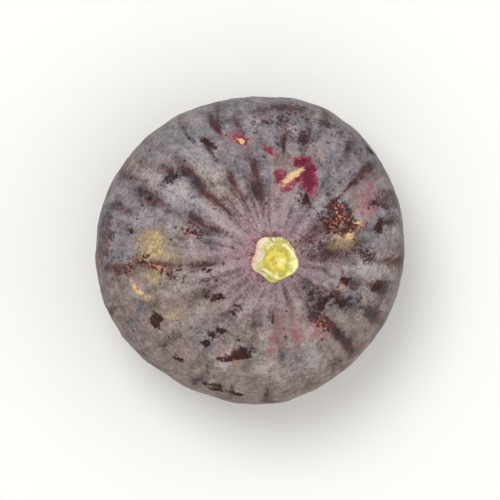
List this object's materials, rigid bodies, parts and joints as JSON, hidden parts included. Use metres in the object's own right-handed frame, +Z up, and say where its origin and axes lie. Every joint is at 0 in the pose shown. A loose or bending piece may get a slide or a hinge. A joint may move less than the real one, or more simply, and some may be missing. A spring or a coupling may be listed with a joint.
{
  "type": "fig",
  "caption": "Whole ripe black fig with fine ribs from its neck over the shoulder, a short cut stem and a small scaly eye underneath; it stands on its base.",
  "frame": {"origin": "under the middle of the fig's outline seen from above, on the surface it stands on", "axes": "+Z up towards the stem; +X is the side the stem leans to"},
  "size_m": [0.0584, 0.058, 0.0562],
  "materials": {
    "fig_skin": "dark purple skin under a grey bloom",
    "fig_stem": "pale yellow-green cut stalk",
    "fig_eye": "dry reddish-brown scales"
  },
  "bodies": {
    "root": {"fruit": "fig_skin", "stem": "fig_stem", "eye_scales": "fig_eye"}
  },
  "joints": []
}
